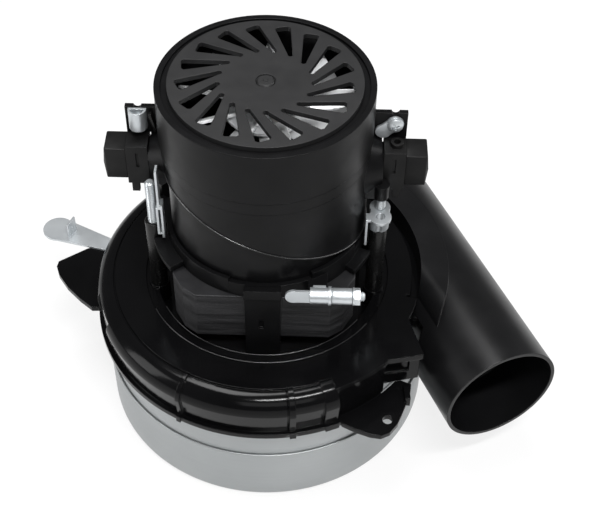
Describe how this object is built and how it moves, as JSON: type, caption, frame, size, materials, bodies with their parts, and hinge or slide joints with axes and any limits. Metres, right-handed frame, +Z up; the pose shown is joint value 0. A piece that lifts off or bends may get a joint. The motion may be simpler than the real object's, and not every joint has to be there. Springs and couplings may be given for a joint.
{
  "type": "vacuum motor",
  "caption": "Three stage vacuum motor with a steel fan case, black plastic fan bracket, side discharge horn and a series motor with sprung brushes and a slotted top grille.",
  "frame": {"origin": "centre of the air inlet on the underside of the fan case", "axes": "+Z up along the shaft, +X towards the right-hand brush side, with the discharge horn at the front right"},
  "size_m": [0.2276, 0.1679, 0.1751],
  "materials": {
    "drawn_steel": "satin",
    "black_moulding": "semi gloss",
    "horn_moulding": "satin",
    "motor_moulding": "satin",
    "grille_plastic": "matt",
    "fan_alloy": "pressed",
    "spacer_steel": "plain",
    "seal_plastic": "matt",
    "bearing_steel": "ground",
    "ground_shaft": "ground",
    "laminated_steel": "varnished laminations",
    "enamelled_wire": "varnished",
    "commutator_copper": "turned",
    "cooling_fan_metal": "bright",
    "carbon": "pressed carbon",
    "spring_steel": "plain",
    "holder_plastic": "satin",
    "zinc_plate": "bright zinc plated",
    "sleeve_rubber": "matt"
  },
  "bodies": {
    "motor": {"fan_shell_lower": "drawn_steel", "fan_shell_upper": "drawn_steel", "fan_bracket": "black_moulding", "discharge_horn": "horn_moulding", "diffuser_1": "fan_alloy", "diffuser_2": "fan_alloy", "air_seal": "seal_plastic", "lower_bearing": "bearing_steel", "upper_bearing": "bearing_steel", "field_frame": "motor_moulding", "field_core": "laminated_steel", "field_coil_left": "enamelled_wire", "field_coil_right": "enamelled_wire", "field_cover": "motor_moulding", "motor_housing": "motor_moulding", "top_grille": "grille_plastic", "grille_button": "grille_plastic", "brush_spring_left": "spring_steel", "brush_spring_right": "spring_steel", "brush_holder_left": "holder_plastic", "brush_holder_right": "holder_plastic", "brush_cap_left": "holder_plastic", "brush_cap_right": "holder_plastic", "holder_clip_left": "zinc_plate", "holder_clip_right": "zinc_plate", "clip_screw_left": "zinc_plate", "clip_screw_right": "zinc_plate", "post_screw_left": "zinc_plate", "post_screw_right": "zinc_plate", "post_sleeve_left": "sleeve_rubber", "post_sleeve_right": "sleeve_rubber", "brush_lead_left": "sleeve_rubber", "lead_strip_left": "zinc_plate", "eyelet_bracket_right": "zinc_plate", "lug_clamp": "zinc_plate", "lug_screw": "zinc_plate", "lug_nut": "zinc_plate", "ground_strap": "zinc_plate", "ground_screw": "zinc_plate"},
    "rotor": {"shaft": "ground_shaft", "armature_core": "laminated_steel", "armature_windings": "enamelled_wire", "commutator": "commutator_copper", "cooling_fan": "cooling_fan_metal", "fan_nut": "spacer_steel", "impeller_1": "fan_alloy", "impeller_2": "fan_alloy", "impeller_3": "fan_alloy", "impeller_spacers": "spacer_steel", "impeller_nut": "spacer_steel"},
    "carbon_left": {"brush_left": "carbon"},
    "carbon_right": {"brush_right": "carbon"}
  },
  "joints": [
    {"name": "rotor_spin", "type": "hinge", "parent": "motor", "child": "rotor", "pos_m": [0, 0, 0.064], "axis": [0, 0, 1], "continuous": true},
    {"name": "brush_left_slide", "type": "slide", "parent": "motor", "child": "carbon_left", "axis": [-0.9989, 0.0471, 0], "range_m": [0, 0.003], "stiffness_N_per_m": 120, "springref_m": -0.012, "deforming": ["brush_spring_left"]},
    {"name": "brush_right_slide", "type": "slide", "parent": "motor", "child": "carbon_right", "axis": [0.9989, -0.0471, 0], "range_m": [0, 0.003], "stiffness_N_per_m": 120, "springref_m": -0.012, "deforming": ["brush_spring_right"]}
  ]
}
